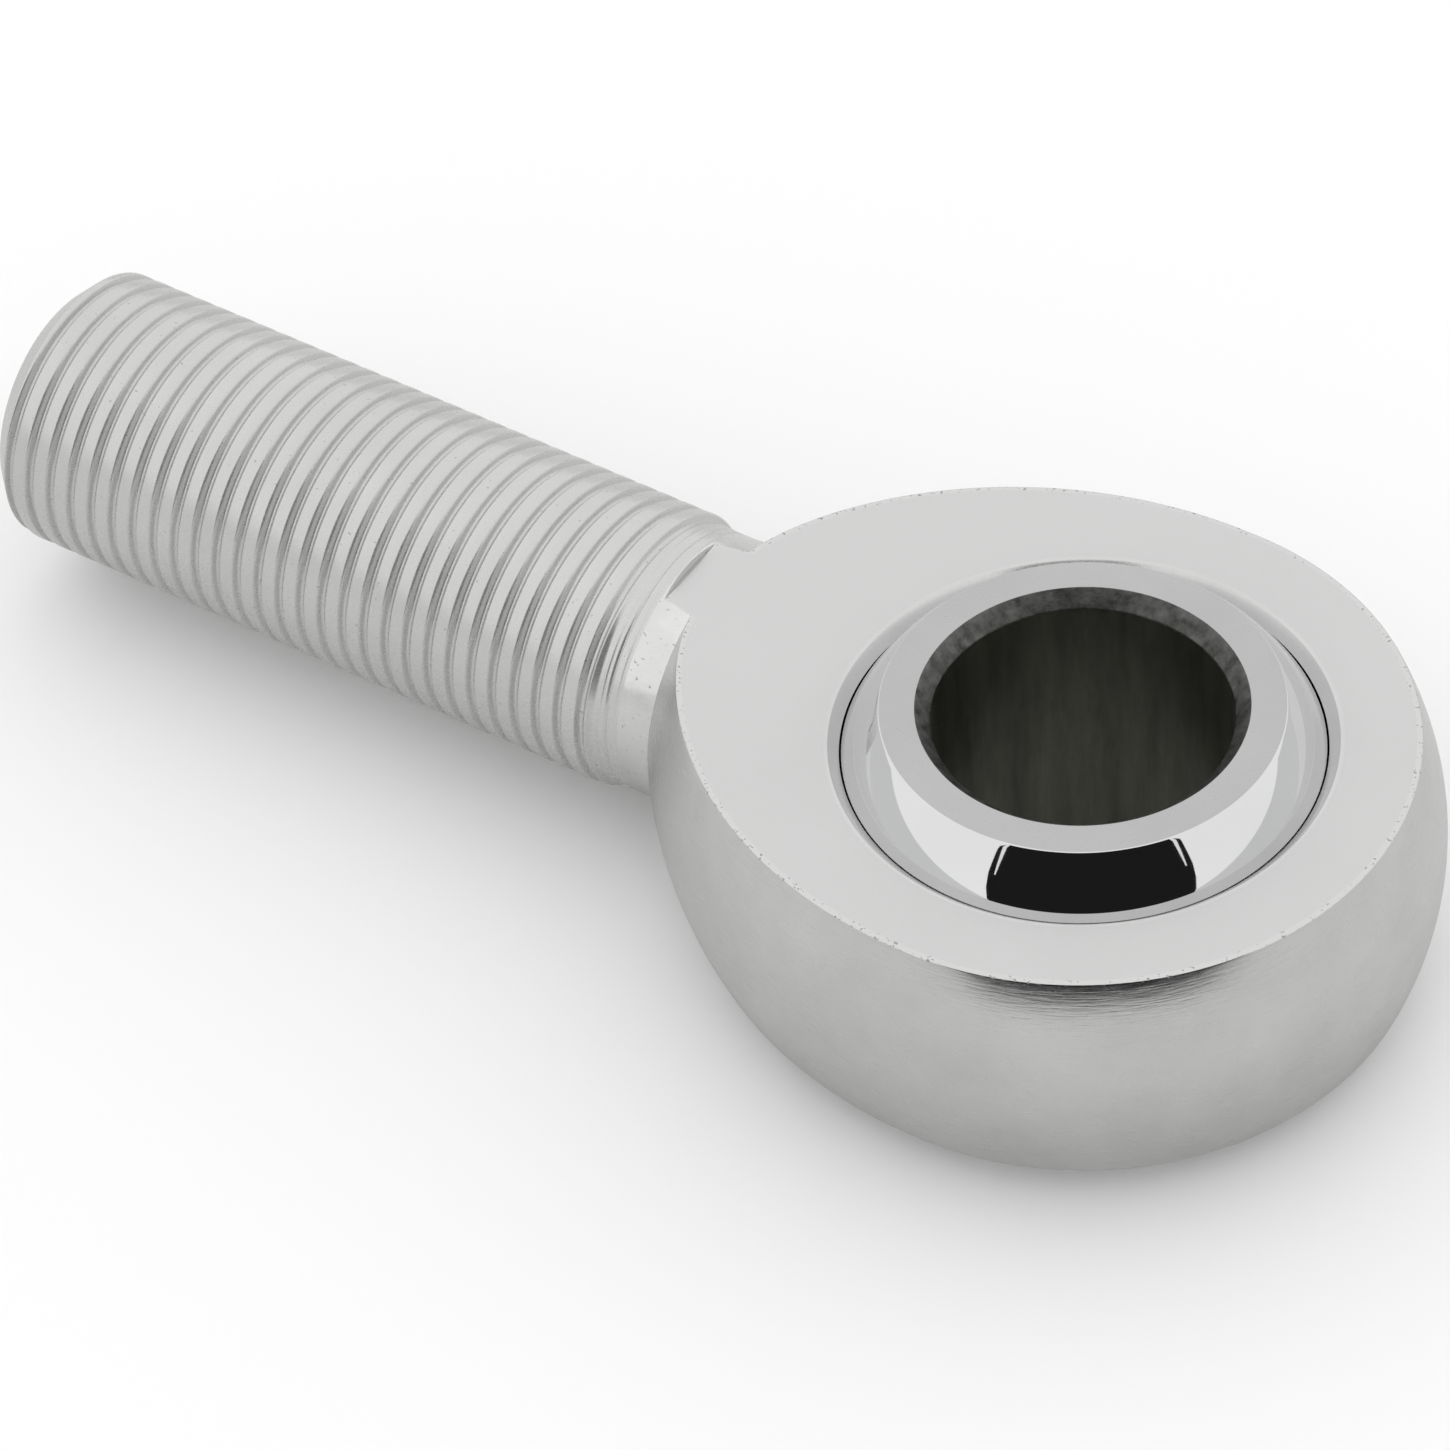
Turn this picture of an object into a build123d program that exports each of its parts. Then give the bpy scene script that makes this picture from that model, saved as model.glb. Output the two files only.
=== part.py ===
from build123d import *
import math
import os

# Male rod end, 5/8 in bore with a 5/8-18 left-hand threaded shank, metal on metal.
# Frame: the origin is the centre of the ball, +Z is the axis of the ball's bore and
# +X runs along the shank towards its free end. Millimetres.

INCH = 25.4

# ball
ball_diameter = 1.125 * INCH
ball_width = 0.750 * INCH
bore_diameter = 0.625 * INCH
bore_chamfer = 0.84

# head of the body
head_diameter = 1.500 * INCH
head_width = 14.15
race_gap = 0.09            # radial play between ball and race
mouth_diameter = 26.85     # of the opening, where its chamfer meets the flat
mouth_chamfer = 0.61
facing_diameter = 49.6     # of the cutter path that leaves the two flats
shoulder_straight = 0.6    # length at full diameter before the shoulder curves in
shoulder_radius = 27.3     # of the curve from the head down to the neck

# neck and threaded shank
shank_end = 2.625 * INCH   # from the ball's centre to the end of the shank
thread_diameter = 15.80
thread_pitch = INCH / 18
end_chamfer = 1.23
neck_diameter = 15.0
neck_flare = 0.15          # how much the neck's radius grows towards the head
neck_flare_end = 24.3
neck_end = 25.0
thread_start = 26.3        # where the shank reaches its full diameter
groove_start = 27.46       # where the groove has its full depth
root_allowance = 1.02      # of the groove's depth, for the radius of a worn rolling die
groove_rise = 0.2          # how far the groove's cutter stands out of the shank
run_out_turns = 1.55
run_out_slope = 14.0       # degrees, at which the groove climbs out towards the neck
spare = 3 * thread_pitch   # length of shank that is cut off after the thread is made
overlap = 1.0              # by which a cutter passes the face it cuts

# grease in the gap
film_thickness = 0.03
film_half_angle = 9.0      # degrees, seen from the ball's centre

ball_radius = ball_diameter / 2
race_radius = ball_radius + race_gap
head_radius = head_diameter / 2
thread_radius = thread_diameter / 2
neck_radius = neck_diameter / 2
half_head = head_width / 2
half_ball = ball_width / 2

os.makedirs("parts", exist_ok=True)


def thread_groove(start, turns, slope=0.0, leftward=False):
    """One stretch of the 60 degree thread groove, as a solid to cut away.

    start is the distance along the shank, and slope the angle in degrees at which the
    groove climbs out of the shank as it advances. A leftward stretch runs towards the head.
    """
    depth = thread_pitch * math.sqrt(3) / 2 * 5 / 8 * root_allowance
    half_root = thread_pitch / 8
    half_crest = thread_pitch * 7 / 16
    spread = groove_rise * math.tan(math.radians(30))
    path = Helix(
        pitch=thread_pitch,
        height=turns * thread_pitch,
        radius=thread_radius,
        center=(start, 0, 0),
        direction=(-1 if leftward else 1, 0, 0),
        cone_angle=slope,
    )
    radial = Vector(0, (path @ 0).Y, (path @ 0).Z).normalized()
    with BuildSketch(Plane(origin=path @ 0, x_dir=radial, z_dir=path % 0)) as groove:
        with BuildLine():
            Polyline(
                (groove_rise, -half_crest - spread),
                (groove_rise, half_crest + spread),
                (-depth, half_root),
                (-depth, -half_root),
                close=True,
            )
        make_face()
    return sweep(sections=groove.sketch.faces()[0], path=path, is_frenet=True)


# Groove, made before the body so that it stands in no block. It runs on into the spare
# length, and towards the neck a shallower stretch climbs out. Both stretches are
# right-hand and then mirrored, which makes the thread left-hand.
groove_turns = math.ceil((shank_end - groove_start) / thread_pitch) + 1
main_groove = thread_groove(groove_start, groove_turns).mirror(Plane.XY)
# a leftward helix starts half a turn away, so it is turned to meet the main groove
run_out = thread_groove(groove_start, run_out_turns, run_out_slope, leftward=True)
run_out = run_out.rotate(Axis.X, 180).mirror(Plane.XY)

# Body: head, neck and shank are one forging, turned about X
shoulder_end = shoulder_straight + math.sqrt(
    shoulder_radius**2 - (shoulder_radius - head_radius + neck_radius + neck_flare) ** 2
)
with BuildPart() as body:
    with BuildSketch(Plane.XY):
        with BuildLine():
            CenterArc((0, 0), head_radius, 90, 90)
            Line((0, head_radius), (shoulder_straight, head_radius))
            RadiusArc(
                (shoulder_straight, head_radius),
                (shoulder_end, neck_radius + neck_flare),
                shoulder_radius,
            )
            Polyline(
                (shoulder_end, neck_radius + neck_flare),
                (neck_flare_end, neck_radius),
                (neck_end, neck_radius),
                (thread_start, thread_radius),
                (shank_end + spare, thread_radius),
                (shank_end + spare, 0),
                (-head_radius, 0),
            )
        make_face()
    revolve(axis=Axis.X)
    add(main_groove, mode=Mode.SUBTRACT)
    add(run_out, mode=Mode.SUBTRACT)
    # the spare length, turned away down to the axis
    with BuildSketch(Plane.YZ.offset(shank_end)):
        Circle(thread_radius + overlap)
    extrude(amount=spare + overlap, mode=Mode.SUBTRACT)
    # the chamfer round the shank's end
    with BuildSketch(Plane.XY):
        with BuildLine():
            Polyline(
                (shank_end - end_chamfer - overlap, thread_radius + overlap),
                (shank_end + overlap, thread_radius - end_chamfer - overlap),
                (shank_end + overlap, thread_radius + overlap),
                close=True,
            )
        make_face()
    revolve(axis=Axis.X, mode=Mode.SUBTRACT)
    # the two flats, faced square to the bore axis
    for side in (1, -1):
        with BuildSketch(Plane.XY.offset(side * half_head)):
            Circle(facing_diameter / 2)
        extrude(amount=side * head_radius, mode=Mode.SUBTRACT)
    # the race and its two chamfered mouths
    Sphere(race_radius, mode=Mode.SUBTRACT)
    for side in (1, -1):
        with BuildSketch(Plane.XY.offset(side * half_head)):
            Circle(mouth_diameter / 2)
        extrude(amount=-side * mouth_chamfer * 2, taper=45, mode=Mode.SUBTRACT)
body.part.label = "body"
export_step(body.part, "parts/body.step")

# Ball: a hardened sphere with two flat faces and a straight, chamfered bore
with BuildPart() as ball:
    Sphere(ball_radius)
    with BuildSketch(Plane.XY.offset(-half_ball)):
        Circle(ball_diameter)
    extrude(amount=ball_width, mode=Mode.INTERSECT)
    Hole(bore_diameter / 2)
    rims = ball.edges().filter_by(GeomType.CIRCLE).filter_by(
        lambda edge: abs(edge.radius - bore_diameter / 2) < 0.01
    )
    chamfer(rims, length=bore_chamfer)
ball.part.label = "ball"
export_step(ball.part, "parts/ball.step")


def film_profile(pole):
    """Outline of a thin lens of grease centred on one pole of the ball."""
    inner = ball_radius + (race_gap - film_thickness) / 2
    outer = inner + film_thickness
    rim = pole - film_half_angle
    middle = math.radians(pole)
    edge = math.radians(rim)
    CenterArc((0, 0), inner, rim, film_half_angle)
    CenterArc((0, 0), outer, rim, film_half_angle)
    for angle in (middle, edge):
        Line(
            (inner * math.cos(angle), inner * math.sin(angle)),
            (outer * math.cos(angle), outer * math.sin(angle)),
        )


# Grease: two dabs of the film between ball and race, on the two axes the ball tilts about
with BuildPart() as grease_shank_side:
    with BuildSketch(Plane.XY):
        with BuildLine():
            film_profile(0)
        make_face()
    revolve(axis=Axis.X)
grease_shank_side.part.label = "grease_shank_side"
export_step(grease_shank_side.part, "parts/grease_shank_side.step")

with BuildPart() as grease_cross_side:
    with BuildSketch(Plane.XY):
        with BuildLine():
            film_profile(90)
        make_face()
    revolve(axis=Axis.Y)
grease_cross_side.part.label = "grease_cross_side"
export_step(grease_cross_side.part, "parts/grease_cross_side.step")
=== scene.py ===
import math

import bmesh
import bpy
import numpy as np
from mathutils import Matrix, Vector


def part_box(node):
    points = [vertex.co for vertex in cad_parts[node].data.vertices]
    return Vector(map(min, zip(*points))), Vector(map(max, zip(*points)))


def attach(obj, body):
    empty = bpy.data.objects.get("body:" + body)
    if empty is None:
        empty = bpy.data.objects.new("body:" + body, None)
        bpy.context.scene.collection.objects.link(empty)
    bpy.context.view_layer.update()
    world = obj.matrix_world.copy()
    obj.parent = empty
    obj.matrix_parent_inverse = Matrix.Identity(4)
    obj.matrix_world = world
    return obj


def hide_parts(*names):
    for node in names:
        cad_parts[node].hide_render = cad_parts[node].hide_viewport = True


# A male rod end: a plated body with a threaded shank, and a chromed ball in its head.
# Metres. The origin is the ball's centre, +Z the bore's axis and +X runs along the shank.
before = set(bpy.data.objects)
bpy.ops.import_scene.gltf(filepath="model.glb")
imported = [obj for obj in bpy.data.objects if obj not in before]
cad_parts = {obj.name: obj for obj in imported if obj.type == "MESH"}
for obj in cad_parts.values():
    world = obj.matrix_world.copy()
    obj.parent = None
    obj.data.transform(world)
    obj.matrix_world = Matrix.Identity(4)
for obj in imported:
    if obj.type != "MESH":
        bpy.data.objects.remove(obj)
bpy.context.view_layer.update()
ball_low, ball_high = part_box("ball")
body_low, body_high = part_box("body")

MM = 0.001
TURN = 2 * math.pi

# the body, as it is in the CAD source, except that the race is a little tighter
HEAD_RADIUS = 19.05 * MM
HALF_HEAD = 7.075 * MM
SHOULDER_STRAIGHT = 0.6 * MM
SHOULDER_RADIUS = 27.3 * MM
FACING_RADIUS = 24.8 * MM
NECK_RADIUS = 7.5 * MM
FLARE_END = 24.3 * MM
NECK_END = 24.85 * MM        # where the shank's grid begins
THREAD_RISE = 26.3 * MM      # where the rolled thread begins to rise out of the neck
THREAD_FULL = 27.1 * MM      # and where it has its full depth
SHANK_END = body_high.x
THREAD_RADIUS = 7.9 * MM
PITCH = 25.4 * MM / 18
GROOVE_START = 27.46 * MM
END_CHAMFER = 1.23 * MM
RACE_RADIUS = 14.345 * MM
MOUTH_RADIUS = 13.425 * MM
MOUTH_CHAMFER = 0.61 * MM

# the ball
BALL_RADIUS = 14.2875 * MM
BALL_HALF_WIDTH = 9.525 * MM
BORE_RADIUS = 7.9375 * MM
BORE_CHAMFER = 0.84 * MM

# broken edges, which the CAD leaves sharp
FLAT_EDGE = 0.13 * MM
WORN_BORDER = 0.22 * MM      # of the flats, along their outer edge
STEP_TOP = 7.80 * MM         # radius at which the shoulder drops to the turned neck
STEP_FOOT = 7.61 * MM
RIM_EDGE = 0.05 * MM

# the thread as rolled and plated: broad crests, and a groove that shows only its top
CROWN_RADIUS = 5.0 * MM
GROOVE_SEEN = 0.36 * MM
ROOT_HALF = 0.10 * MM
CREST_BLEND = 0.07 * MM
ROOT_BLEND = 0.045 * MM
CUT_BLEND = 0.06 * MM
# rings left by the thread rolls: their place along the shank and their depth
DIE_MARKS = ((25.02 * MM, 0.03 * MM), (25.62 * MM, 0.07 * MM), (26.05 * MM, -0.04 * MM))
DIE_MARK_WIDTH = 0.08 * MM


# ---------------------------------------------------------------- mesh helpers

def unit(v):
    return v / np.linalg.norm(v)


def arc(centre, radius, start, end, steps):
    """Points of an arc in the plane, its angles in radians."""
    angles = np.linspace(start, end, steps + 1)
    return np.array(centre) + radius * np.column_stack([np.cos(angles), np.sin(angles)])


def rounded(corners, reaches, steps=4):
    """An open outline whose inner corners are eased over the given reach on each side."""
    corners = [np.array(c, float) for c in corners]
    points = [corners[0]]
    for before, corner, after, reach in zip(corners, corners[1:], corners[2:], reaches):
        first = corner + unit(before - corner) * reach
        last = corner + unit(after - corner) * reach
        for t in np.linspace(0, 1, steps + 1):
            points.append((1 - t) ** 2 * first + 2 * t * (1 - t) * corner + t * t * last)
    points.append(corners[-1])
    return np.array(points)


def smooth_min(a, b, width):
    """The lesser of a and b, eased where they are within width of each other."""
    h = np.maximum(width - np.abs(a - b), 0) / width
    return np.minimum(a, b) - h * h * width / 4


def smooth_max(a, b, width):
    """The greater of a and b, eased in the same way."""
    return -smooth_min(-a, -b, width)


def spin(profile, angles):
    """Rows of points: each (radius, height) of a profile turned about Z through the angles."""
    radius = profile[:, 0][:, None]
    height = np.broadcast_to(profile[:, 1][:, None], (len(profile), len(angles)))
    return np.stack([radius * np.cos(angles), radius * np.sin(angles), height], axis=-1)


MERGE_DISTANCE = 0.0015 * MM
SHORTEST_EDGE = 0.0005 * MM
SHARP_ANGLE = math.radians(38)


class Skin:
    """Grids of points, joined into one mesh."""

    def __init__(self):
        self.points = []
        self.faces = []
        self.slots = []

    def add_points(self, points):
        first = len(self.points)
        self.points.extend(map(tuple, np.reshape(points, (-1, 3))))
        return first

    def grid(self, points, slot, closed=False):
        """Quads between rows of points. Closed joins each row's last point to its first."""
        rows, columns = points.shape[:2]
        first = self.add_points(points)
        for i in range(rows - 1):
            for j in range(columns if closed else columns - 1):
                k = (j + 1) % columns
                a = first + i * columns
                b = a + columns
                self.faces.append((a + j, a + k, b + k, b + j))
                self.slots.append(slot)

    def build(self, name, materials):
        mesh = bpy.data.meshes.new(name)
        mesh.from_pydata(self.points, [], self.faces)
        mesh.polygons.foreach_set("material_index", self.slots)
        for material in materials:
            mesh.materials.append(material)
        work = bmesh.new()
        work.from_mesh(mesh)
        bmesh.ops.remove_doubles(work, verts=work.verts, dist=MERGE_DISTANCE)
        bmesh.ops.dissolve_degenerate(work, edges=work.edges, dist=SHORTEST_EDGE)
        bmesh.ops.recalc_face_normals(work, faces=work.faces)
        work.to_mesh(mesh)
        work.free()
        mesh.shade_smooth()
        mesh.set_sharp_from_angle(angle=SHARP_ANGLE)
        piece = bpy.data.objects.new(name, mesh)
        bpy.context.scene.collection.objects.link(piece)
        weighted = piece.modifiers.new("weighted", "WEIGHTED_NORMAL")
        weighted.keep_sharp = True
        return piece


# ---------------------------------------------------------------- the body

SIDE_ROWS = 46
EDGE_ROWS = 5
ROUND_COLUMNS = 121    # of the side's spherical part, with both ends
STEP_POINTS = 6        # across the flat where it runs into the neck
NECK_COLUMNS = 15      # of the side's grid, that lie on the turned neck
FINE_AT_NECK = 2.4 * PITCH    # length of shank where the thread's grid is finer
FINE_AT_END = 0.3 * PITCH     # and how far that reaches past the end chamfer


def shoulder_profile():
    """Points (x, radius) and outward normals from the head's widest place to the neck's end."""
    middle = np.array([SHOULDER_STRAIGHT, HEAD_RADIUS - SHOULDER_RADIUS])
    lowest = math.asin((STEP_TOP - middle[1]) / SHOULDER_RADIUS)
    shoulder = arc(middle, SHOULDER_RADIUS, math.pi / 2, lowest, 50)
    foot = np.array([shoulder[-1][0] + 0.05 * MM, STEP_FOOT])
    flare_end = np.array([FLARE_END, NECK_RADIUS])
    step = rounded([shoulder[-2], shoulder[-1], foot, flare_end], [0.05 * MM, 0.07 * MM], 4)
    flare = np.linspace(step[-2], flare_end, 5)[1:]
    neck = np.array([[FLARE_END + 0.15 * MM, NECK_RADIUS]])
    points = np.vstack([[[0.0, HEAD_RADIUS]], shoulder[:-1], step[1:-1], flare, neck])
    along = np.gradient(points, axis=0)
    normals = np.column_stack([-along[:, 1], along[:, 0]])
    normals /= np.linalg.norm(normals, axis=1)[:, None]
    return points, normals


def band_column(point, normal, rows):
    """One column of the head's side, from the edge of the upper flat down to the lower one.

    point and normal give the column's place at mid height for any latitude angle.
    """
    edge = rows[-1]
    foot = point(edge)
    lean = normal(edge)
    centre = foot - FLAT_EDGE * lean
    up = np.array([0.0, 0.0, 1.0])
    whole = math.acos(lean[2])
    across = unit(up - lean * lean[2])
    eased = [
        centre + FLAT_EDGE * (math.cos(whole * t) * lean + math.sin(whole * t) * across)
        for t in np.linspace(1, 0, EDGE_ROWS + 1)[:-1]
    ]
    side = [point(angle) for angle in rows[::-1]]
    below = [p * np.array([1, 1, -1]) for p in reversed(eased)]
    return np.array(eased + side + below)


def shoulder_column(station, normal, sign):
    """A column of the part of the side that is turned about X."""
    inner = station - FLAT_EDGE * normal
    limit = math.asin((HALF_HEAD - FLAT_EDGE) / inner[1])
    rows = np.linspace(-limit, limit, SIDE_ROWS + 1)
    return band_column(
        lambda a: np.array([station[0], sign * station[1] * math.cos(a), station[1] * math.sin(a)]),
        lambda a: np.array([normal[0], sign * normal[1] * math.cos(a), normal[1] * math.sin(a)]),
        rows,
    )


def round_column(azimuth):
    """A column of the spherical part of the side."""
    limit = math.asin((HALF_HEAD - FLAT_EDGE) / (HEAD_RADIUS - FLAT_EDGE))
    rows = np.linspace(-limit, limit, SIDE_ROWS + 1)
    plan = np.array([math.cos(azimuth), math.sin(azimuth), 0.0])

    def lean(a):
        return plan * math.cos(a) + np.array([0.0, 0.0, math.sin(a)])

    return band_column(lambda a: HEAD_RADIUS * lean(a), lean, rows)


def shank_radius(x, theta):
    """The shank's radius, with its rolled thread and end chamfer, at an angle from +Y."""
    middle = GROOVE_START - PITCH * (theta / TURN + 0.25)
    offset = np.abs((x - middle + PITCH / 2) % PITCH - PITCH / 2)
    crest = THREAD_RADIUS - (PITCH / 2 - offset) ** 2 / (2 * CROWN_RADIUS)
    spread = smooth_max(offset - ROOT_HALF, 0 * x, ROOT_BLEND)
    groove = THREAD_RADIUS - GROOVE_SEEN + spread * math.sqrt(3)
    thread = smooth_min(crest, groove, CREST_BLEND)
    grown = np.clip((x - THREAD_RISE) / (THREAD_FULL - THREAD_RISE), 0, 1)
    grown = grown * grown * (3 - 2 * grown)
    outside = NECK_RADIUS + grown * (thread - NECK_RADIUS)
    for station, depth in DIE_MARKS:
        outside = outside - depth * np.exp(-(((x - station) / DIE_MARK_WIDTH) ** 2))
    end = THREAD_RADIUS - (x - (SHANK_END - END_CHAMFER))
    return smooth_min(outside, end, CUT_BLEND)


def thread_samples():
    """Distances along the shank, where the grid of the thread has its lines at angle 0."""
    half = np.array([0, 0.04, 0.08, 0.12, 0.16, 0.20, 0.24, 0.28, 0.36, 0.5])
    pitch = np.concatenate([half, 1 - half[-2:0:-1]]) * PITCH
    turns = math.ceil((SHANK_END - NECK_END) / PITCH) + 3
    start = GROOVE_START - PITCH * 0.25
    while start > NECK_END:
        start -= PITCH
    lines = np.concatenate([start + k * PITCH + pitch for k in range(turns)])
    lines = np.append(lines, lines[0] + turns * PITCH)
    # finer at both ends, where cuts cross the thread
    fine = [lines[0]]
    for a, b in zip(lines, lines[1:]):
        near_end = b > SHANK_END - END_CHAMFER - FINE_AT_END or a < NECK_END + FINE_AT_NECK
        parts = 3 if near_end and b - a > 0.1 * PITCH else 2 if near_end else 1
        fine.extend(a + (b - a) * (k + 1) / parts for k in range(parts))
    return np.array(fine)


def make_body(materials):
    skin = Skin()
    stations, normals = shoulder_profile()
    limit = math.asin((HALF_HEAD - FLAT_EDGE) / (NECK_RADIUS - FLAT_EDGE))
    corner_y = NECK_RADIUS * math.cos(limit)
    corner_x = math.sqrt(FACING_RADIUS**2 - corner_y**2)
    stations[-1, 0] = corner_x

    near = [shoulder_column(p, n, 1) for p, n in zip(stations[::-1], normals[::-1])]
    turn = [round_column(a) for a in np.linspace(math.pi / 2, 3 * math.pi / 2, ROUND_COLUMNS)[1:-1]]
    far = [shoulder_column(p, n, -1) for p, n in zip(stations, normals)]
    band = np.array(near + turn + far)
    side = band[:, EDGE_ROWS : EDGE_ROWS + SIDE_ROWS + 1]
    skin.grid(side[:NECK_COLUMNS], NECK)
    skin.grid(side[NECK_COLUMNS - 1 : -NECK_COLUMNS + 1], SIDE)
    skin.grid(side[-NECK_COLUMNS:], NECK)
    skin.grid(band[:, : EDGE_ROWS + 1], EDGE)
    skin.grid(band[:, EDGE_ROWS + SIDE_ROWS :], EDGE)

    # where the flat ends against the neck: the foot and the top of the small step
    across = np.linspace(-band[0, 0, 1], band[0, 0, 1], STEP_POINTS + 2)[1:-1]
    foot = np.column_stack([
        np.sqrt(FACING_RADIUS**2 - across**2), across, np.full(len(across), HALF_HEAD)
    ])
    outline = np.vstack([band[:, 0], foot])
    azimuths = np.arctan2(outline[:, 1], outline[:, 0])

    # mouth and race, one profile from the upper flat to the lower one
    lip_radius = MOUTH_RADIUS - MOUTH_CHAMFER
    lip = math.acos(lip_radius / RACE_RADIUS)
    race = arc((0, 0), RACE_RADIUS, lip, -lip, 24)
    upper = rounded(
        [(MOUTH_RADIUS + 4 * RIM_EDGE, HALF_HEAD), (MOUTH_RADIUS, HALF_HEAD), race[0], race[1]],
        [RIM_EDGE, RIM_EDGE / 2],
        3,
    )
    profile = np.vstack([upper, race[2:-2], upper[::-1] * np.array([1, -1])])
    mouth = spin(profile, azimuths)
    rim = len(upper)
    skin.grid(mouth[:rim], MOUTH, closed=True)
    skin.grid(mouth[rim - 1 : -rim + 1], RACE, closed=True)
    skin.grid(mouth[-rim:], MOUTH, closed=True)
    for rows, border in ((mouth[0], outline), (mouth[-1], outline * np.array([1, 1, -1]))):
        inward = rows - border
        rim_share = (WORN_BORDER / np.linalg.norm(inward, axis=1))[:, None]
        worn = border + inward * rim_share
        skin.grid(np.array([border, worn]), EDGE, closed=True)
        skin.grid(np.array([worn + (rows - worn) * t for t in (0, 0.4, 1)]), FLAT, closed=True)

    # the step up to the neck, and the ring of points that the shank starts from
    flank = np.linspace(-limit, limit, SIDE_ROWS + 1)
    eased = band[0, :EDGE_ROWS][::-1]
    low = np.vstack([eased, foot[::-1], eased[::-1] * np.array([1, -1, 1])])
    high = low.copy()
    high[:, 2] = np.sqrt(NECK_RADIUS**2 - low[:, 1] ** 2)
    ends = [band[0, EDGE_ROWS], band[-1, EDGE_ROWS]]
    low = np.vstack([ends[:1], low, ends[1:]])
    high = np.vstack([ends[:1], high, ends[1:]])
    for flip in (1, -1):
        skin.grid(np.array([low, high]) * np.array([1, 1, flip]), STEP)
    top = np.arctan2(high[1:-1, 2], high[1:-1, 1])
    theta = np.concatenate([flank, top, math.pi + flank, math.pi + top])
    begin = np.concatenate([
        np.full(len(flank), corner_x), high[1:-1, 0], np.full(len(flank), corner_x), high[-2:0:-1, 0]
    ])
    cosine, sine = np.cos(theta), np.sin(theta)

    def ring(x, radius):
        x = np.broadcast_to(x, theta.shape)
        return np.stack([x, radius * cosine, radius * sine], axis=-1)

    skin.grid(np.array([ring(begin, NECK_RADIUS), ring(NECK_END, NECK_RADIUS)]), NECK, closed=True)

    # the threaded shank, whose grid lines follow the helix
    lines = thread_samples()
    cap = SHANK_END - 0.1 * MM
    wrapped = theta % TURN
    order = np.argsort(wrapped)
    around = np.append(wrapped[order], wrapped[order][0] + TURN)
    x = np.clip(lines[:, None] - PITCH * around / TURN, NECK_END, cap)
    radius = shank_radius(x, around)
    skin.grid(np.stack([x, radius * np.cos(around), radius * np.sin(around)], axis=-1), THREAD)

    # the end face
    end_radius = THREAD_RADIUS - END_CHAMFER
    cap_profile = rounded(
        [(cap, end_radius + 0.1 * MM), (SHANK_END, end_radius), (SHANK_END, 0.2 * MM)], [0.08 * MM], 3
    )
    faces = [ring(x, r) for x, r in cap_profile]
    faces.insert(-1, ring(SHANK_END, end_radius * 0.5))
    faces.append(ring(SHANK_END, 0.0))
    skin.grid(np.array(faces), END, closed=True)
    return skin.build("rod_end_body", materials)


# ---------------------------------------------------------------- the ball

def make_ball(materials):
    skin = Skin()
    face_radius = math.sqrt(BALL_RADIUS**2 - BALL_HALF_WIDTH**2)
    latitude = math.atan2(BALL_HALF_WIDTH, face_radius)
    ball_arc = arc((0, 0), BALL_RADIUS, latitude, 0, 40)
    corners = [
        (BORE_RADIUS, 0),
        (BORE_RADIUS, BALL_HALF_WIDTH - BORE_CHAMFER),
        (BORE_RADIUS + BORE_CHAMFER, BALL_HALF_WIDTH),
        (face_radius, BALL_HALF_WIDTH),
        ball_arc[1],
    ]
    upper = np.vstack([rounded(corners, [0.1 * MM, 0.06 * MM, 0.09 * MM], 4), ball_arc[2:]])
    angles = np.linspace(0, TURN, 257)[:-1]
    bore_rows = 4      # of the profile, up to the middle of the bore's upper corner
    chamfer_rows = 9
    face_rows = 14
    for flip in (1, -1):
        rows = spin(upper * np.array([1, flip]), angles)
        skin.grid(rows[:bore_rows], BORE, closed=True)
        skin.grid(rows[bore_rows - 1 : chamfer_rows], BORE_CHAMFER_SLOT, closed=True)
        skin.grid(rows[chamfer_rows - 1 : face_rows], FACE, closed=True)
        skin.grid(rows[face_rows - 1 :], SPHERE, closed=True)
    return skin.build("chromed_ball", materials)


# ---------------------------------------------------------------- materials

def new_material(name):
    material = bpy.data.materials.new(name)
    material.use_nodes = True
    return material, material.node_tree.nodes, material.node_tree.links


def shader(nodes):
    return nodes["Principled BSDF"]


def place(nodes, links, scale):
    """Object coordinates in millimetres times a scale."""
    where = nodes.new("ShaderNodeTexCoord")
    mapping = nodes.new("ShaderNodeMapping")
    mapping.inputs["Scale"].default_value = [s / MM for s in scale]
    links.new(where.outputs["Object"], mapping.inputs["Vector"])
    return mapping.outputs["Vector"]


def polar(nodes, links, along, across):
    """Coordinates that follow the turning marks about Z: stretched along, fine across."""
    where = nodes.new("ShaderNodeTexCoord")
    split = nodes.new("ShaderNodeSeparateXYZ")
    angle = nodes.new("ShaderNodeMath")
    angle.operation = "ARCTAN2"
    turn = nodes.new("ShaderNodeMath")
    turn.operation = "MULTIPLY"
    turn.inputs[1].default_value = along
    high = nodes.new("ShaderNodeMath")
    high.operation = "MULTIPLY"
    high.inputs[1].default_value = across / MM
    join = nodes.new("ShaderNodeCombineXYZ")
    links.new(where.outputs["Object"], split.inputs[0])
    links.new(split.outputs["Y"], angle.inputs[0])
    links.new(split.outputs["X"], angle.inputs[1])
    links.new(angle.outputs[0], turn.inputs[0])
    links.new(split.outputs["Z"], high.inputs[0])
    links.new(turn.outputs[0], join.inputs["X"])
    links.new(high.outputs[0], join.inputs["Y"])
    return join.outputs[0]


def noise(nodes, links, vector, scale=1.0, detail=4.0, roughness=0.6):
    node = nodes.new("ShaderNodeTexNoise")
    node.inputs["Scale"].default_value = scale
    node.inputs["Detail"].default_value = detail
    node.inputs["Roughness"].default_value = roughness
    links.new(vector, node.inputs["Vector"])
    return node.outputs["Fac"]


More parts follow.
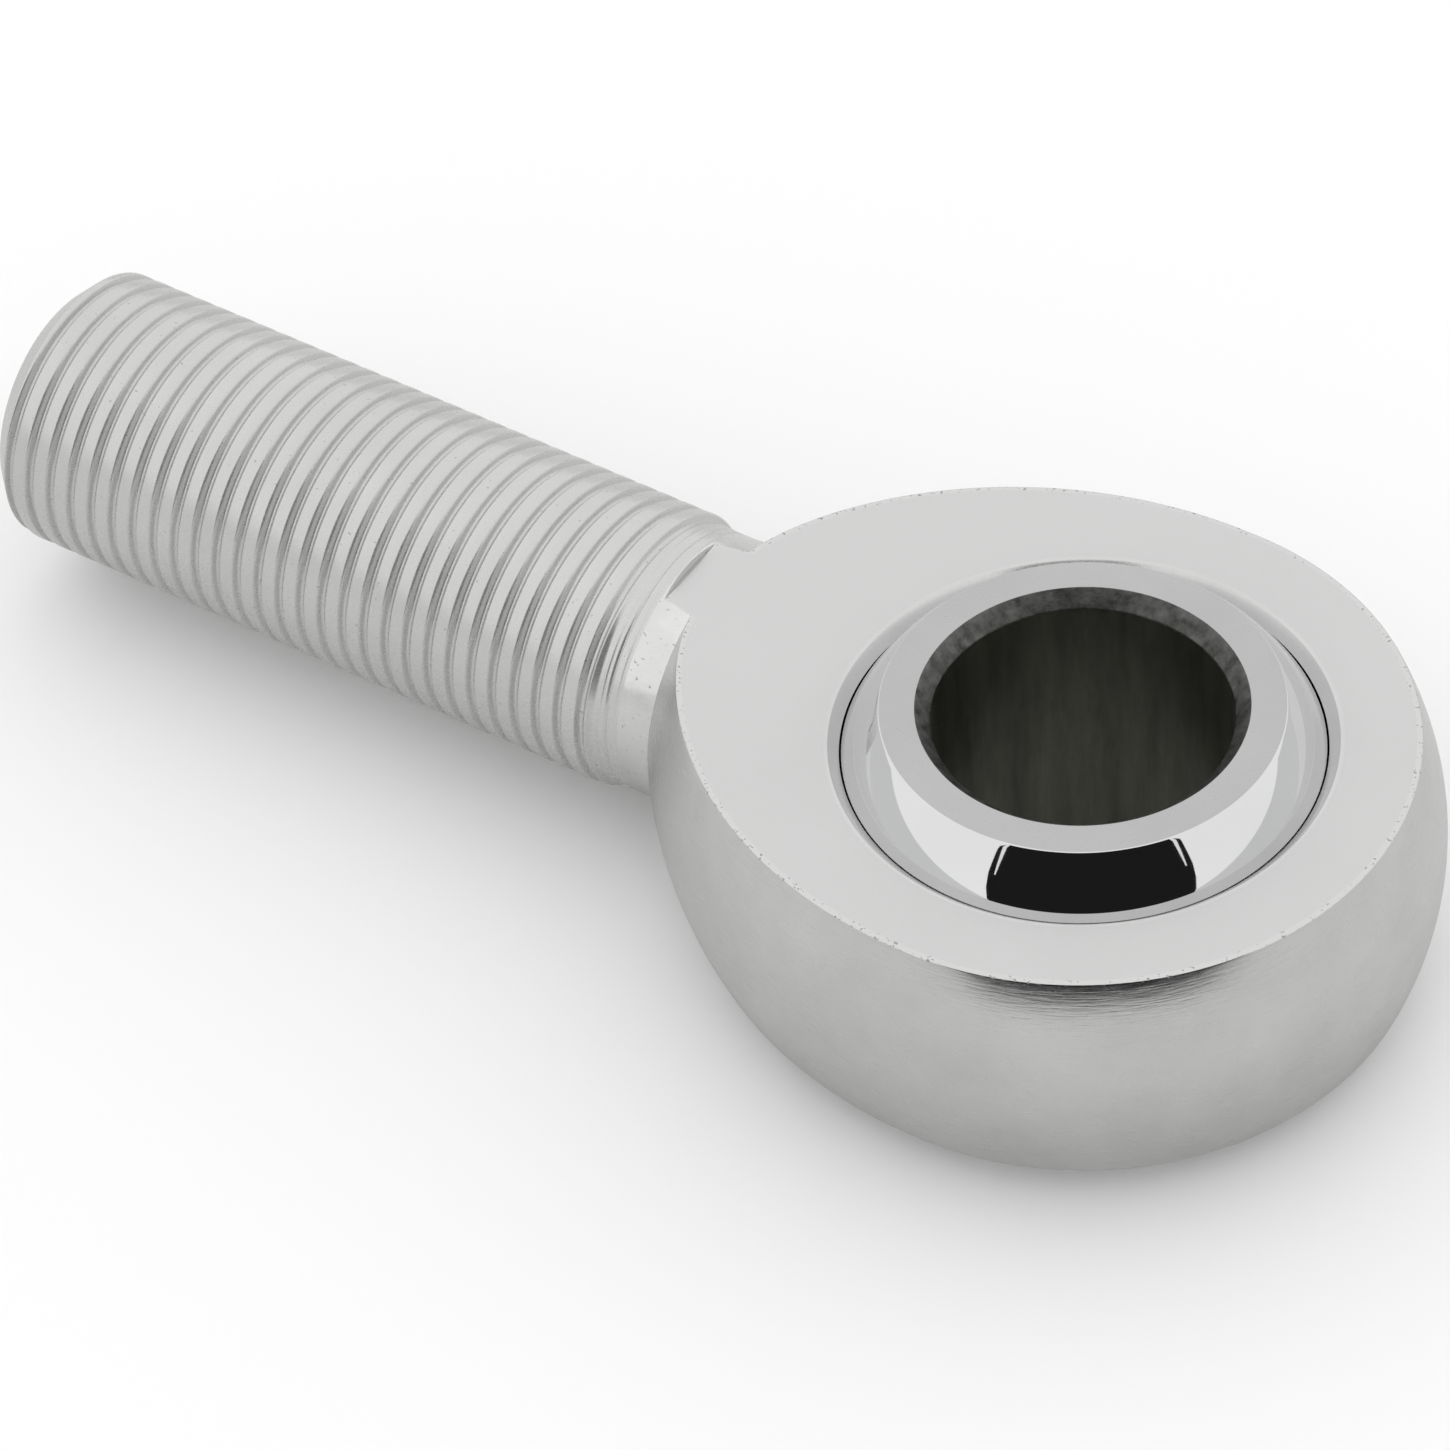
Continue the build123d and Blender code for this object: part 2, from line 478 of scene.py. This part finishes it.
def between(nodes, links, value, low, high, start=0.0, end=1.0):
    """value, from start to end, mapped to low to high."""
    node = nodes.new("ShaderNodeMapRange")
    node.inputs["From Min"].default_value = start
    node.inputs["From Max"].default_value = end
    node.inputs["To Min"].default_value = low
    node.inputs["To Max"].default_value = high
    links.new(value, node.inputs["Value"])
    return node.outputs["Result"]


def tint(nodes, links, value, dark, light, start=0.3, end=0.7):
    """value mapped to a colour from dark to light."""
    ramp = nodes.new("ShaderNodeValToRGB")
    ramp.color_ramp.elements[0].position = start
    ramp.color_ramp.elements[0].color = (*dark, 1)
    ramp.color_ramp.elements[1].position = end
    ramp.color_ramp.elements[1].color = (*light, 1)
    links.new(value, ramp.inputs["Fac"])
    return ramp.outputs["Color"]


def bump(nodes, links, height, strength, distance):
    node = nodes.new("ShaderNodeBump")
    node.inputs["Strength"].default_value = strength
    node.inputs["Distance"].default_value = distance
    links.new(height, node.inputs["Height"])
    return node.outputs["Normal"]


ANISOTROPY = 0.6           # of the turned surfaces
ACROSS_THE_MARKS = 0.0     # anisotropic rotation
NOISE_SPAN = (0.3, 0.7)    # the part of a noise's range that it mostly keeps to
NICK_EDGE = 0.05           # how much of the noise the edge of a nick takes
NICK_DEPTH = 3.0           # of a nick, against the height of the marks


def metal(name, dark, light, rough, grain=(4, 4, 4), relief=0.2, height=0.002 * MM,
          turned=None, pits=None, mottle=(0.12, 0.12, 0.12), metallic=1.0):
    """A metal whose tone, roughness and surface vary.

    grain is the scale of the marks per millimetre. turned instead lays them round Z: how
    many per radian and how many per millimetre of height. pits adds small dark nicks:
    their scale per millimetre, the share of the noise they take, and their tone. mottle
    is the scale of the change between dark and light. metallic below 1 gives a satin tone
    that also shows where the mirror image is dark.
    """
    material, nodes, links = new_material(name)
    bsdf = shader(nodes)
    bsdf.inputs["Metallic"].default_value = metallic
    vector = polar(nodes, links, *turned) if turned else place(nodes, links, grain)
    marks = noise(nodes, links, vector, detail=3.0)
    broad = noise(nodes, links, place(nodes, links, mottle))
    colour = tint(nodes, links, broad, dark, light)
    relief_height = marks
    if pits:
        scale, share, tone = pits
        nicks = noise(nodes, links, place(nodes, links, (scale, scale, scale)), detail=2.0)
        open_metal = between(nodes, links, nicks, 0.0, 1.0, share, share + NICK_EDGE)
        mix = nodes.new("ShaderNodeMix")
        mix.data_type = "RGBA"
        links.new(open_metal, mix.inputs["Factor"])
        mix.inputs["A"].default_value = (tone, tone, tone, 1)
        links.new(colour, mix.inputs["B"])
        colour = mix.outputs["Result"]
        both = nodes.new("ShaderNodeMath")
        both.operation = "MULTIPLY_ADD"
        links.new(open_metal, both.inputs[0])
        both.inputs[1].default_value = NICK_DEPTH
        links.new(marks, both.inputs[2])
        relief_height = both.outputs[0]
    links.new(colour, bsdf.inputs["Base Color"])
    links.new(between(nodes, links, marks, *rough, *NOISE_SPAN), bsdf.inputs["Roughness"])
    links.new(bump(nodes, links, relief_height, relief, height), bsdf.inputs["Normal"])
    if turned:
        along = nodes.new("ShaderNodeTangent")
        along.direction_type = "RADIAL"
        along.axis = "Z"
        links.new(along.outputs[0], bsdf.inputs["Tangent"])
        bsdf.inputs["Anisotropic"].default_value = ANISOTROPY
        bsdf.inputs["Anisotropic Rotation"].default_value = ACROSS_THE_MARKS
    return material


# slots of the body's mesh
SIDE, EDGE, FLAT, MOUTH, RACE, STEP, NECK, THREAD, END = range(9)
# slots of the ball's mesh
BORE, BORE_CHAMFER_SLOT, FACE, SPHERE = range(4)

ZINC_DARK = (0.585, 0.585, 0.58)
ZINC_LIGHT = (0.63, 0.63, 0.625)
GROUND_DARK = (0.58, 0.58, 0.575)
GROUND_LIGHT = (0.67, 0.67, 0.665)


def body_materials():
    side = metal("zinc_ground_side", GROUND_DARK, GROUND_LIGHT, (0.17, 0.30), relief=0.9,
                 height=0.009 * MM, turned=(9.0, 7.0))
    flat = metal("zinc_faced_flat", (0.588, 0.588, 0.585), (0.603, 0.603, 0.60), (0.34, 0.40),
                 (3, 3, 3), 0.05, metallic=0.35)
    edge = metal("zinc_edge", ZINC_LIGHT, ZINC_LIGHT, (0.10, 0.2), (5, 5, 5), 0.5, 0.01 * MM,
                 pits=(4.5, 0.33, 0.35))
    mouth = metal("zinc_mouth", ZINC_DARK, ZINC_LIGHT, (0.14, 0.24), (4, 4, 4), 0.2)
    race = metal("steel_race", (0.25, 0.25, 0.25), (0.32, 0.32, 0.31), (0.25, 0.35))
    neck = metal("zinc_neck", (0.64, 0.64, 0.635), (0.71, 0.71, 0.705), (0.12, 0.28),
                 (1.5, 4, 4), 0.7, 0.006 * MM, pits=(3.5, 0.28, 0.45))
    thread = metal("zinc_thread", (0.565, 0.565, 0.56), (0.61, 0.61, 0.605), (0.24, 0.34),
                   (3, 3, 3), 0.25, 0.003 * MM, pits=(3.0, 0.25, 0.4), metallic=0.75)
    end = metal("zinc_end", ZINC_DARK, ZINC_LIGHT, (0.2, 0.3), (4, 4, 4), 0.3)
    return [side, edge, flat, mouth, race, flat, neck, thread, end]


def ball_materials():
    bore = metal("steel_bore", (0.17, 0.175, 0.15), (0.30, 0.30, 0.26), (0.3, 0.44), (5, 5, 0.4),
                 0.6, 0.008 * MM, mottle=(0.6, 0.6, 0.08))
    chamfer = metal("steel_bore_chamfer", (0.05, 0.05, 0.048), (0.16, 0.16, 0.155), (0.35, 0.55),
                    (2, 2, 2), 1.0, 0.03 * MM, mottle=(1.3, 1.3, 1.3))
    face = metal("chrome_face", (0.44, 0.44, 0.44), (0.475, 0.475, 0.475), (0.26, 0.34), (3, 3, 3), 0.1,
                 metallic=0.4)
    sphere = metal("chrome_sphere", (0.66, 0.66, 0.665), (0.70, 0.70, 0.705), (0.02, 0.04), (2, 2, 2), 0.02)
    return [bore, chamfer, face, sphere]


def grease_material():
    material, nodes, links = new_material("amber_grease")
    bsdf = shader(nodes)
    broad = noise(nodes, links, place(nodes, links, (1, 1, 1)))
    links.new(tint(nodes, links, broad, (0.32, 0.16, 0.03), (0.5, 0.28, 0.06)), bsdf.inputs["Base Color"])
    links.new(between(nodes, links, broad, 0.15, 0.35), bsdf.inputs["Roughness"])
    links.new(bump(nodes, links, broad, 0.3, 0.01 * MM), bsdf.inputs["Normal"])
    return material


# ---------------------------------------------------------------- the pieces

body = make_body(body_materials())
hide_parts("body")
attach(body, "body")

ball = make_ball(ball_materials())
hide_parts("ball")
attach(ball, "ball")

grease = grease_material()
for node in ("grease_shank_side", "grease_cross_side"):
    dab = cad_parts[node]
    dab.data.materials.clear()
    dab.data.materials.append(grease)

# ---------------------------------------------------------------- camera

LENS = 214.1                     # mm, on Blender's 36 mm sensor
AIM = Vector((20.85, 3.04, 0.0)) * MM
CAMERA_DISTANCE = 462.6 * MM     # from the aim point
AZIMUTH = math.radians(126.053)  # of the camera as seen from the aim point, from +X
ELEVATION = math.radians(45.083)
ROLL = math.radians(-3.963)

back = Vector((
    math.cos(AZIMUTH) * math.cos(ELEVATION),
    math.sin(AZIMUTH) * math.cos(ELEVATION),
    math.sin(ELEVATION),
))
camera = bpy.data.objects.new("camera", bpy.data.cameras.new("camera"))
bpy.context.scene.collection.objects.link(camera)
camera.data.lens = LENS
camera.data.clip_start = 0.05
camera.data.clip_end = 20.0
turn = back.to_track_quat("Z", "Y").to_matrix().to_4x4() @ Matrix.Rotation(ROLL, 4, "Z")
camera.matrix_world = Matrix.Translation(AIM + back * CAMERA_DISTANCE) @ turn
bpy.context.scene.camera = camera

# ---------------------------------------------------------------- studio

FLOOR = ball_low.z
FRONT = math.degrees(AZIMUTH) - 1.7     # azimuth of the tent's open side, near the camera's
SHEET_GAP = 0.2 * MM             # of the table sheet above the floor
STRIP_GAP = 0.5 * MM


def emitter(name, colour, strength):
    material, nodes, links = new_material(name)
    nodes.remove(nodes["Principled BSDF"])
    glow = nodes.new("ShaderNodeEmission")
    glow.inputs["Color"].default_value = (*colour, 1)
    glow.inputs["Strength"].default_value = strength
    links.new(glow.outputs[0], nodes["Material Output"].inputs["Surface"])
    return material


def plain(name, colour):
    """A matt material, for the table and the floor."""
    material, nodes, _ = new_material(name)
    shader(nodes).inputs["Base Color"].default_value = (*colour, 1)
    shader(nodes).inputs["Roughness"].default_value = 0.9
    return material


def height_at(distance, elevation):
    """The height of an elevation in degrees, seen from the ball's centre."""
    return distance * math.tan(math.radians(elevation))


def screen(name, rows, material, turned=0.0):
    """A screen round the object, seen only in reflections.

    Each row gives the half width in degrees of azimuth, the distance and the height;
    turned is the azimuth of its middle from the tent's open side.
    """
    across = np.linspace(-1, 1, 33)
    skin = Skin()
    grid = []
    for half, distance, height in rows:
        angles = np.radians(FRONT + turned + half * across)
        high = np.full(len(across), height)
        grid.append(np.column_stack([distance * np.cos(angles), distance * np.sin(angles), high]))
    skin.grid(np.array(grid), 0)
    piece = skin.build(name, [material])
    piece.visible_camera = False
    piece.visible_diffuse = False
    piece.visible_shadow = False
    return piece


# The tent's open side: half its width and its elevation, both in degrees, from the
# ball's centre. A dark strip of the table lies in front of it.
OPENING_DISTANCE = 0.25
OPENING = [
    (36, 3), (37, 6), (40, 8), (43, 10), (44.5, 14), (45.5, 20), (45.5, 30), (43, 38), (34, 46), (20, 52)
]
STRIP = [(30, 0.10), (37, OPENING_DISTANCE)]      # half width in degrees, distance
opening = emitter("tent_opening", (1, 1, 1), 0.014)
screen("tent_opening", [(STRIP[-1][0], OPENING_DISTANCE, FLOOR)] + [
    (half, OPENING_DISTANCE, height_at(OPENING_DISTANCE, elevation)) for half, elevation in OPENING
], opening)
screen("table_edge", [(half, distance, FLOOR + STRIP_GAP) for half, distance in STRIP], opening)

# Bright seams beside the opening, and a brighter panel high up past the shank's end.
SEAM = [(0.3, 20), (0.9, 30), (0.8, 40)]          # half width and elevation in degrees
SEAM_AZIMUTH = 42.5                               # from the tent's open side
SEAM_DISTANCE = OPENING_DISTANCE * 0.98
PANEL = [(24, 0.4, 0.30), (24, 0.4, 0.62)]        # half width in degrees, distance, height
PANEL_AZIMUTH = -118
seam = emitter("tent_seam", (1, 1, 1), 1.0)
for side, turned in (("left", -SEAM_AZIMUTH), ("right", SEAM_AZIMUTH)):
    screen("tent_seam_" + side, [
        (half, SEAM_DISTANCE, height_at(OPENING_DISTANCE, elevation)) for half, elevation in SEAM
    ], seam, turned)
panel = emitter("bright_panel", (1, 1, 1), 1.15)
screen("bright_panel", PANEL, panel, PANEL_AZIMUTH)

# The table and the foot of the tent's wall, dimmer than the tent.
WALL_DISTANCE = 0.30
SHEET_MIDDLE = 0.1 * MM          # radius left open in the middle of the table sheet
WALL_TOP = 9.5                   # degrees, from the ball's centre
wall = emitter("tent_foot", (0.99, 1, 0.99), 0.75)
screen("tent_foot", [
    (180, WALL_DISTANCE, FLOOR), (180, WALL_DISTANCE, height_at(WALL_DISTANCE, WALL_TOP))
], wall)
screen("table", [
    (180, SHEET_MIDDLE, FLOOR + SHEET_GAP), (180, WALL_DISTANCE, FLOOR + SHEET_GAP)
], plain("table", (0.74, 0.745, 0.735)))

FLOOR_HALF = 3.0
floor_mesh = Skin()
floor_mesh.grid(np.array([
    [(-FLOOR_HALF, y, FLOOR), (FLOOR_HALF, y, FLOOR)] for y in (-FLOOR_HALF, FLOOR_HALF)
]), 0)
floor = floor_mesh.build("floor", [plain("pale_floor", (0.94, 0.94, 0.94))])

world = bpy.data.worlds.new("tent")
bpy.context.scene.world = world
world.use_nodes = True
world.node_tree.nodes["Background"].inputs["Color"].default_value = (1, 1, 1, 1)
world.node_tree.nodes["Background"].inputs["Strength"].default_value = 1.08
bpy.context.scene.view_settings.view_transform = "Standard"
